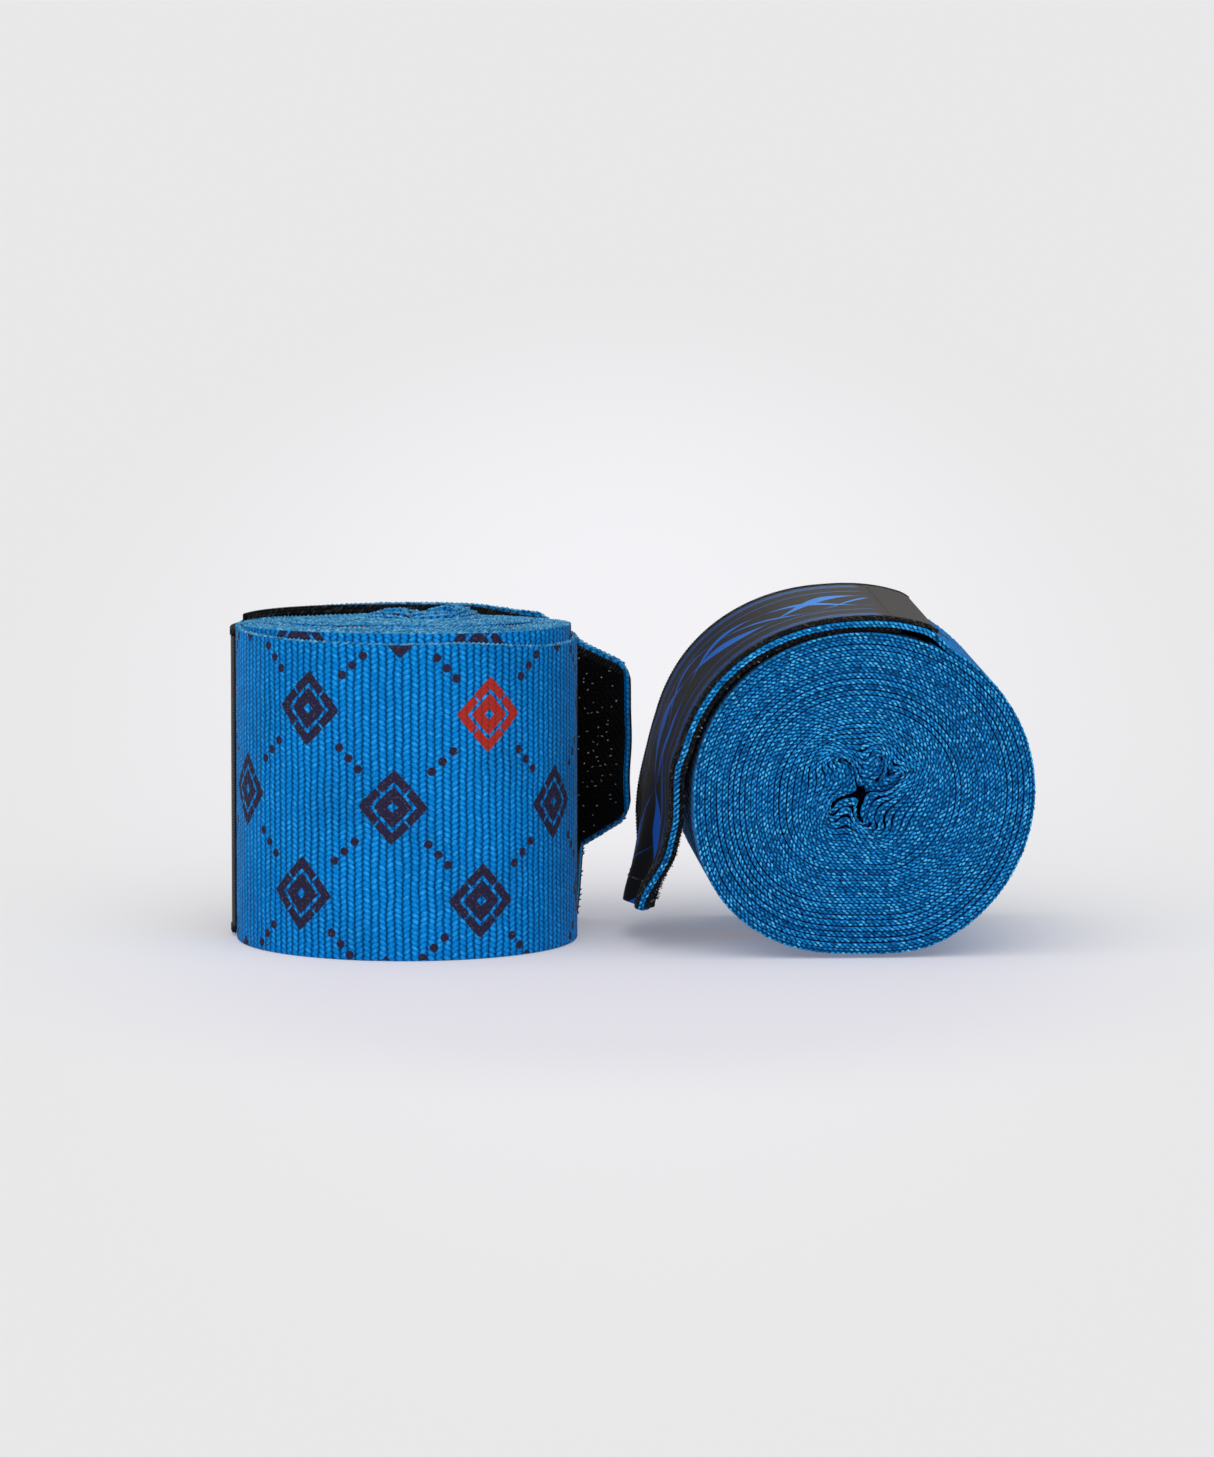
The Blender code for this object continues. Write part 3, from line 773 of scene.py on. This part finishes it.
def tail_sway(wrap, travel, middle):
    """How far the whole tail bows outward. The right one's low edge hugs the roll first and then flares."""
    if wrap.name == "left":
        return 0.4 * np.sin(travel / 6.0) * smooth((travel - 4.0) / (wrap.tail_length - 4.0))
    hug = 2.9 - 2.5 * smooth((middle + 0.42) / 0.6)
    hugging = -hug * smooth((travel - 2.0) / 12.0) * (1 - smooth((travel - 17.0) / 11.0))
    return hugging - smooth((travel - 8.0) / 18.0)


def pleats(wrap, travel, rows, mean_row):
    """How far the tail bows out of its plane: soft folds that run along it and deepen towards its tip."""
    share = smooth((travel - 4.0) / (wrap.tail_length - 4.0))
    middle = (rows - mean_row) / BAND_WIDTH
    fold = np.sin(middle * 16.0 + 0.8) + 0.5 * np.sin(middle * 31.0 + 2.0)
    return share * PLEAT_DEPTH[wrap.name] * fold + tail_sway(wrap, travel, middle)


def on_closure(wrap, travel, heights, edges, above):
    """Points of the closure, above the strap's outer face, and the normals there."""
    points, normal = wrap.closure_frame(travel)
    out = pleats(wrap, travel, heights, (edges[0] + edges[1]) / 2) + above
    return points + normal * out[:, None], normal


def closure_strip(wrap, name, start, depth, thick, inset, inner_rows, material, layer, tip_inset=0.0):
    """A layer of the closure from a travel on the roll to the tip, depth below the strap's outer face."""
    count = int((wrap.tail_length - tip_inset - start) / STRIP_SPACING)
    travel = np.linspace(start, wrap.tail_length - tip_inset, count)
    section = rows_between(*wrap.edges(travel, inset, layer), inner_rows)
    rows = section[0]
    points, normal = wrap.closure_frame(travel)
    normal = np.broadcast_to(normal[:, None], rows.shape + (2,))
    out = pleats(wrap, travel[:, None], rows, rows.mean(axis=1, keepdims=True)) - depth - thick / 2
    mid = points[:, None] + normal * out[..., None]
    along = wound_length(wrap, np.float64(wrap.start_deg)) + travel - wrap.travel_at(wrap.start_deg)
    return ribbon(name, wrap, mid, normal, section, thick, along, material)


def strokes(name, wrap, centre, normal, heights, outward, length, radius, slant, tone, material, climb=0.0):
    """Short slanted stitches of yarn on a cloth's edge, each a little spindle with its own tone."""
    tangent = np.stack([-normal[:, 1], normal[:, 0]], axis=1)
    lean = (tangent * np.cos(slant)[:, None] + normal * np.sin(slant)[:, None]) * length / 2
    across = tangent * -np.sin(slant)[:, None] + normal * np.cos(slant)[:, None]
    reach, girth, arch = np.array([-1.0, 0.0, 1.0]), np.array([0.5, 1.0, 0.5]), np.array([-0.14, 0.0, -0.14])
    spine = centre[:, None] + lean[:, None] * reach[None, :, None]
    level = heights[:, None] + outward * arch[None, :] + climb * reach[None, :]
    turn = np.arange(4) * np.pi / 2
    wide = (np.cos(turn)[None, :] * girth[:, None] * radius)[None, :, :, None]
    high = (np.sin(turn)[None, :] * girth[:, None] * radius)[None]
    ring = spine[:, :, None] + across[:, None, None] * wide
    levels = level[:, :, None] + high
    points = wrap.world(ring, levels).reshape(-1, 3)
    quads = repeated_tubes(len(centre), len(reach), len(turn))
    tones = {"tone": np.repeat(tone, len(reach) * len(turn))}
    return make_mesh(f"{wrap.name}_{name}", points, quads, tones, material)


def two_rows(count, seed, radius_shift):
    """Offsets, slants and tones of stitches that lie in two rows, staggered."""
    rng = np.random.default_rng(seed)
    row = np.arange(count) % 2
    offset = np.where(row == 0, -1.0, 1.0) * radius_shift * rng.uniform(0.85, 1.15, count)
    slant = rng.normal(0.3, 0.13, count)
    tone = np.clip(rng.normal(0.5, 0.24, count), 0, 1)
    lift = rng.uniform(-0.05, 0.05, count)
    return offset, slant, tone, lift


def selvage(wrap, face, material, seed):
    """The stitches of the wound turns' edge, in two rows along the whole spiral."""
    grid = np.arange(wrap.start_deg - 360 * (TURNS - 0.02), wrap.start_deg - 0.4, 0.5)
    length = wound_length(wrap, grid)
    samples = np.arange(length[0], length[-1], STITCH / 2)
    degrees = np.interp(samples, length, grid)
    nominal = np.full_like(samples, 0.0 if face == "low" else BAND_WIDTH)
    mid, normal, thick = wound_section(wrap, degrees[:, None], nominal[:, None])
    outward = -1 if face == "low" else 1
    offset, slant, tone, lift = two_rows(len(samples), seed, 0.22)
    centre = mid[:, 0] + normal[:, 0] * (offset * thick[:, 0])[:, None]
    heights = nominal + wrap.telescope(degrees) + outward * (lift + 0.03 - wrap.dimple(degrees))
    name = f"{face}_selvage"
    return strokes(name, wrap, centre, normal[:, 0], heights, outward, 0.70, 0.185, slant, tone, material)


def closure_selvage(wrap, side, depth, thick, inset, pitch, name, material, seed, start, layer):
    """The stitches along one edge of a closure layer."""
    travel = np.arange(start + 0.2, wrap.tail_length - 0.6, pitch / 2)
    edges = wrap.edges(travel, inset, layer)
    heights, outward = edges[side], (-1, 1)[side]
    offset, slant, tone, lift = two_rows(len(travel), seed, 0.25)
    centre, normal = on_closure(wrap, travel, heights, edges, offset * thick - thick / 2 - depth)
    level = heights + outward * (lift + 0.02)
    size = min(thick * 0.27, 0.2)
    return strokes(name, wrap, centre, normal, level, outward, pitch * 0.95, size, slant, tone, material)


def face_cord(wrap, name, sides, layer, face, material, seed, start):
    """Braided cords laid along a closure layer's edges on one of its faces."""
    rng = np.random.default_rng(seed)
    places = np.arange(start + 0.3, wrap.tail_length - 1.2, 0.52)
    side, row, step = (grid.ravel() for grid in np.meshgrid(sides, np.arange(3), places, indexing="ij"))
    travel = step + row * 0.26
    edges = wrap.edges(travel, CLOSURE_INSET, layer)
    heights = np.where(side == 0, edges[0] + 0.15 + 0.42 * row, edges[1] - 0.15 - 0.42 * row)
    centre, normal = on_closure(wrap, travel, heights, edges, face)
    tone = np.clip(rng.normal(0.35, 0.3, len(travel)), 0, 1)
    flat = np.zeros(len(travel))
    return strokes(name, wrap, centre, normal, heights, 0, 0.6, 0.16, flat, tone, material, 0.2)


def rings(world, side, up, radius, count):
    """Rings of points around the points of many lines, in the plane of two directions."""
    angles = np.arange(count) * math.tau / count
    side, up = np.expand_dims(side, -2), np.expand_dims(up, -2)
    return world[:, :, None] + radius * (side * np.cos(angles)[:, None] + up * np.sin(angles)[:, None])


HOOK_REACH, HOOK_HEIGHT, HOOK_RADIUS = 0.26, 0.42, 0.075


def hooks(wrap, material, seed):
    """The hook tape's hooks, on the tail's inner face and in the gap that the right closure leaves."""
    rng = np.random.default_rng(seed)
    depth = UNDER_BAND + HOOK_LAYER
    slack = 0.0 if wrap.name == "left" else 26.0
    travel = np.arange(1.5 - slack, wrap.tail_length - 1.6, 0.85)
    rows = []
    for i, t in enumerate(travel):
        low, high = wrap.edges(np.array([t]), CLOSURE_INSET + 1.5)
        w = np.arange(low[0] + 0.4 * (i % 2) - (1.3 if slack else 0.0), high[0] if t > 0 else 8.0, 0.8)
        rows.append(np.stack([np.full_like(w, t), w], axis=1))
    spots = np.concatenate(rows)
    spots += rng.uniform(-0.16, 0.16, spots.shape)
    count = len(spots)
    base, normal = on_closure(wrap, spots[:, 0], spots[:, 1], wrap.edges(spots[:, 0], 0.0), 0.03 - depth)
    tangent = np.stack([-normal[:, 1], normal[:, 0]], axis=1)
    lean = rng.uniform(0, 2 * np.pi, count)
    arc = np.linspace(0, 1, 6)
    reach = HOOK_REACH * np.sin(arc * np.pi * 0.9)
    height = HOOK_HEIGHT * np.sin(arc * np.pi * 0.62)
    size = rng.uniform(0.75, 1.15, count)
    side_t, side_w = np.cos(lean) * size, np.sin(lean) * size
    centre = (
        base[:, None]
        - normal[:, None] * (height[None, :, None] * size[:, None, None])
        + tangent[:, None] * (reach[None, :] * side_t[:, None])[..., None]
    )
    heights = spots[:, 1][:, None] + reach[None, :] * side_w[:, None]
    radius = np.full((1, len(arc), 1, 1), HOOK_RADIUS)
    across = wrap.direction(tangent)[:, None]
    ring = rings(wrap.world(centre, heights), across, wrap.axes[2] * MM, radius, 4)
    # A fifth of the hooks get a grey tone, as painted glints on the black plastic.
    bright = np.where(rng.uniform(0, 1, count) < 0.2, rng.uniform(0.4, 1.0, count), 0.0)
    tone = np.repeat(bright, len(arc) * 4)
    quads = repeated_tubes(count, len(arc), 4)
    return make_mesh(f"{wrap.name}_hooks", ring.reshape(-1, 3), quads, {"tone": tone}, material)


THREAD_RADIUS, STITCH_LENGTH, STITCH_EVERY = 0.13, 2.1, 2.6


def stitches(wrap, material):
    """Lockstitches along both edges of the closure, across the strap's sewn end and across the tail."""
    start = wrap.travel_at(wrap.start_deg)
    runs = []
    along = np.arange(start + 8.0, wrap.tail_length - 4.2, STITCH_EVERY)
    for side in (0, 1):
        for t in along:
            first = wrap.edges(np.array([t]), SEAM_INSET)[side][0]
            second = wrap.edges(np.array([t + STITCH_LENGTH]), SEAM_INSET)[side][0]
            runs.append(((t, first), (t + STITCH_LENGTH, second)))
    for t in (start + 8.0, wrap.tail_length - 4.0):
        low, high = (e[0] for e in wrap.edges(np.array([t]), SEAM_INSET + 0.6))
        for w in np.arange(low, high - STITCH_LENGTH, STITCH_EVERY):
            runs.append(((t, w), (t, w + STITCH_LENGTH)))
    runs = np.array([run for run in runs if abs(run[0][1] - run[1][1]) < STITCH_LENGTH + 0.1])
    share = np.linspace(0, 1, 6)
    travel = runs[:, 0, 0, None] + (runs[:, 1, 0] - runs[:, 0, 0])[:, None] * share
    rows = runs[:, 0, 1, None] + (runs[:, 1, 1] - runs[:, 0, 1])[:, None] * share
    count, stations = travel.shape
    travel, rows = travel.ravel(), rows.ravel()
    arch = (np.sin(share * np.pi) ** 0.5 * 0.12 - 0.07)[None, :].repeat(count, 0).ravel()
    centre, normal = on_closure(wrap, travel, rows, wrap.edges(travel, 0.0), arch)
    world = wrap.world(centre, rows).reshape(count, stations, 3)
    direction = np.gradient(world, axis=1)
    direction /= np.linalg.norm(direction, axis=2, keepdims=True)
    up = (wrap.direction(normal) / MM).reshape(count, stations, 3)
    side = np.cross(direction, up)
    side /= np.linalg.norm(side, axis=2, keepdims=True)
    taper = THREAD_RADIUS * MM * np.array([0.5, 0.95, 1.0, 1.0, 0.95, 0.5])
    ring = rings(world, side, up, taper[None, :, None, None], 6)
    quads = repeated_tubes(count, stations, 6)
    return make_mesh(f"{wrap.name}_closure_stitches", ring.reshape(-1, 3), quads, {}, material)


def bartack(wrap, node, material):
    """The dense stitches that tie the thumb loop to the band's inner end."""
    corners = np.array([node.matrix_world @ Vector(corner) for corner in node.bound_box]) / MM
    spots = (corners - wrap.centre) @ wrap.axes.T
    low, high = spots.min(axis=0), spots.max(axis=0)
    heights = np.arange(low[2] + 0.4, high[2] - 0.4, 0.7)
    middle = np.broadcast_to((low + high)[:2] / 2, (len(heights), 2))
    normal = middle / np.linalg.norm(middle, axis=1, keepdims=True)
    flat, tone = np.zeros(len(heights)), np.full(len(heights), 0.5)
    return strokes("bartack", wrap, middle, normal, heights, 0, 2.4, 0.3, flat, tone, material)


LOOP_LOW, LOOP_WIDTH, LOOP_THICK = 15.2, 19.6, 0.6


def thumb_loop(wrap, material):
    """The loop at the band's inner end, pressed flat and wound up in the core."""
    sweep = np.linspace(8, 352, 70)
    radius = 1.9 + 2.1 * sweep / 360
    outward = (radius + 0.5)[:, None] * unit(np.radians(sweep))
    back = ((radius - 0.5)[:, None] * unit(np.radians(sweep)))[::-1]
    line = np.concatenate([outward, back])
    after, before = np.roll(line, -1, axis=0), np.roll(line, 1, axis=0)
    tangent = after - before
    normal = np.stack([tangent[:, 1], -tangent[:, 0]], axis=1)
    normal /= np.linalg.norm(normal, axis=1, keepdims=True)
    low = np.full(len(line), LOOP_LOW)
    section = rows_between(low, low + LOOP_WIDTH, 8)
    mid, normal = (np.broadcast_to(each[:, None], section[0].shape + (2,)) for each in (line, normal))
    along = path_length(line)
    return ribbon("wound_thumb_loop", wrap, mid, normal, section, LOOP_THICK, along, material, closed=True)


def dress(wrap, materials):
    """Builds one wrap's pieces and ties those of the roll to the frame; the closure's pieces stay in place in
    the world.
    """
    roll, tab = f"{wrap.name}_roll", f"{wrap.name}_tab"
    band, yarn = materials[f"{wrap.name}_band"], materials[f"{wrap.name}_yarn"]
    cord, jacquard, hook_cloth = materials["cord"], materials["strap"], materials["hook"]
    start = wrap.travel_at(wrap.start_deg)
    hook_start = wrap.travel_at(wrap.start_deg + HOOK_SETBACK_DEG)
    inset = CLOSURE_INSET

    def node(part):
        return f"{wrap.name}_{part}"

    wound = wound_turns(wrap, band)
    outer = last_turn(wrap, band)
    loop = thumb_loop(wrap, band)
    faces = ("high",) if wrap.name == "left" else ("low", "high")
    edges = [selvage(wrap, face, yarn, 40 + i) for i, face in enumerate(faces)]
    closure = closure_strip(
        wrap, "closure_band", start, UNDER_STRAP - 0.05, BAND_LAYER + 0.1, 0.0, 20, band, "band"
    )
    strap = closure_strip(wrap, "closure_strap", start, 0.0, STRAP_LAYER, inset, 36, jacquard, "strap")
    tape = closure_strip(
        wrap, "hook_tape", hook_start, UNDER_BAND, HOOK_LAYER, inset, 20, hook_cloth, "hook", tip_inset=0.5
    )
    nap = hooks(wrap, materials["hooks"], 60)
    trims = []
    for side, end in enumerate(("low", "high")):
        band_edge = (UNDER_STRAP, 0.85, 0.0, STITCH, f"closure_band_{end}_edge", yarn, 50 + side)
        strap_edge = (0.0, 0.5, inset, 0.62, f"strap_{end}_edge", cord, 54 + side)
        trims.append(closure_selvage(wrap, side, *band_edge, start, "band"))
        trims.append(closure_selvage(wrap, side, *strap_edge, start, "strap"))
    shown = (1,) if wrap.name == "left" else (0,)
    tape_face = -UNDER_BAND - HOOK_LAYER - 0.04
    tape_edge = face_cord(wrap, "hook_tape_cord", shown, "hook", tape_face, cord, 58, hook_start)
    trims.append(face_cord(wrap, "strap_cord", (0, 1), "strap", 0.0, cord, 59, start))
    seam = stitches(wrap, materials["thread"])

    for piece in (wound, outer, loop, *edges):
        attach(piece, roll)
    hinge = np.array([PEEL_AT - 4.0, PEEL_AT + 4.0])
    points, _ = wrap.closure_frame(hinge)
    before, after = wrap.world(points, np.full(2, BAND_WIDTH / 2))
    bending = [(closure, "band"), (strap, "strap"), (tape, "hook"), (nap, "hook"), (tape_edge, "hook")]
    bending += [(seam, "thread"), *zip(trims, ("band", "strap", "band", "strap", "strap"))]
    for piece, slot in bending:
        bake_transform(piece)
    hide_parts(node("band_inner_turns"))
    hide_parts(node("band_outer_turn"))
    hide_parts(node("band_tail"))
    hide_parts(node("closure_strap_base"), node("closure_strap_tail"))
    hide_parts(node("hook_tape_base"), node("hook_tape_tail"))
    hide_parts(node("closure_stitching_base"), node("closure_stitching_tail"))
    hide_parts(node("thumb_loop"))
    tack = bartack(wrap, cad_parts[node("thumb_loop_bartack")], cord)
    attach(tack, roll)
    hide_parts(node("thumb_loop_bartack"))


def add_sun(name, direction, energy, angle, colour=(1, 1, 1)):
    light = bpy.data.lights.new(name, "SUN")
    light.energy, light.angle, light.color = energy, math.radians(angle), colour
    new_object(name, light).rotation_euler = Vector(direction).to_track_quat("-Z", "Y").to_euler()


FLOOR_HALF = 12.0
FLOOR_BELOW = 0.00002


def ellipse(x, y):
    """1 on the rim of an ellipse and less inside it."""
    return (x * x + y * y).op("SQRT")


def stage():
    """Soft light from above and in front, and a pale floor with a painted shadow under the wraps and a
    painted pool of light behind them.
    """
    scene = bpy.context.scene
    scene.view_settings.view_transform = "Standard"
    world = bpy.data.worlds.new("studio")
    scene.world = world
    world.use_nodes = True
    world.node_tree.nodes["Background"].inputs["Color"].default_value = (0.93, 0.95, 1.0, 1.0)
    world.node_tree.nodes["Background"].inputs["Strength"].default_value = 0.45
    add_sun("key", (0.12, 0.55, -1.0), 1.75, 90, (1.0, 0.985, 0.96))
    add_sun("front_fill", (-0.1, 1.0, -0.3), 0.45, 70)
    mesh = bpy.data.meshes.new("floor")
    corners = [(x * FLOOR_HALF, y * FLOOR_HALF, 0) for x, y in ((-1, -1), (1, -1), (1, 1), (-1, 1))]
    mesh.from_pydata(corners, [], [(0, 1, 2, 3)])
    shade = Shader("floor", 0.9, 0.0)
    x, y, _ = shade.parts(shade.node("ShaderNodeTexCoord").outputs["Object"])
    # Painted shadow: the floor's colour is darker in a pool under the wraps. Painted light makes it lighter
    # in a wide pool behind them.
    shade_pool = ellipse(x / 0.105, (y + 0.05) / 0.13).step(1.0, 0.4)
    glow = ellipse(x / 0.115, (y - 0.45) / 0.80).step(1.15, 0.1)
    ground = shade.mix(glow, (0.665, 0.656, 0.643), (0.755, 0.74, 0.75))
    shade.link(shade.mix(shade_pool, ground, (0.625, 0.60, 0.635)), shade.shader.inputs["Base Color"])
    shade.shader.inputs["Emission Color"].default_value = (0.9, 0.93, 1.0, 1.0)
    shade.shader.inputs["Emission Strength"].default_value = 0.2
    mesh.materials.append(shade.material)
    floor = new_object("floor", mesh)
    floor.location.z = -FLOOR_BELOW


def add_camera():
    """A long lens from 7 degrees above the surface, aimed between the two wraps."""
    distance, elevation, view_height = 1.6, math.radians(7.0), 0.2324
    target = Vector((-0.0038, 0.0, 0.0334))
    data = bpy.data.cameras.new("camera")
    data.sensor_width = 36.0
    data.lens = data.sensor_width * distance / view_height
    data.clip_start, data.clip_end = 0.05, 60.0
    camera = new_object("camera", data)
    back = Vector((0.0, -math.cos(elevation), math.sin(elevation)))
    camera.location = target + back * distance
    camera.rotation_euler = (-back).to_track_quat("-Z", "Y").to_euler()
    bpy.context.scene.camera = camera


def main():
    yaw = math.radians(3.8)
    left = Wrap(
        "left",
        centre=(-35.5, -1.2, 0.0),
        axes=((1, 0, 0), (0, -1, 0), (0, 0, 1)),
        radii=(27.4, 27.4, 27.4),
        flat_depth=None,
        angles=(182.0, 289.0),
        tail_length=27.8,
        tail_tip=(17.0, 42.0),
        shoulder=18.2,
        core=(40.0, (4.0, 0.0)),
    )
    right = Wrap(
        "right",
        centre=(36.5, -24.8, 26.36),
        axes=((math.cos(yaw), math.sin(yaw), 0), (0, 0, 1), (-math.sin(yaw), math.cos(yaw), 0)),
        radii=(27.3, 26.0, 27.2),
        flat_depth=26.2,
        angles=(65.0, 166.0),
        tail_length=28.5,
        tail_tip=(14.0, 38.5),
        shoulder=0.0,
        core=(0.0, (-0.5, 0.3)),
    )
    # The left roll's edges are painted pale, fuzz lightened by painted sheen seen at a grazing angle. The
    # right roll's edges are painted dark, as painted shade.
    fuzz_and_sheen, shadow = (0.07, 0.30, 0.50), (0.0003, 0.028, 0.09)
    materials = {
        "left_band": band_material("left_band_weave", (-41.3, 24.4), fuzz_and_sheen),
        "right_band": band_material("right_band_weave", (-15.7, 14.0), shadow, 0.9),
        "left_yarn": yarn_material("left_yarn"),
        "right_yarn": yarn_material("right_yarn"),
        "cord": yarn_material("strap_cord"),
        "strap": strap_material(),
        "hook": hook_material(),
        "hooks": hook_plastic_material(),
        "thread": thread_material(),
    }
    dress(left, materials)
    dress(right, materials)
    stage()
    add_camera()


main()
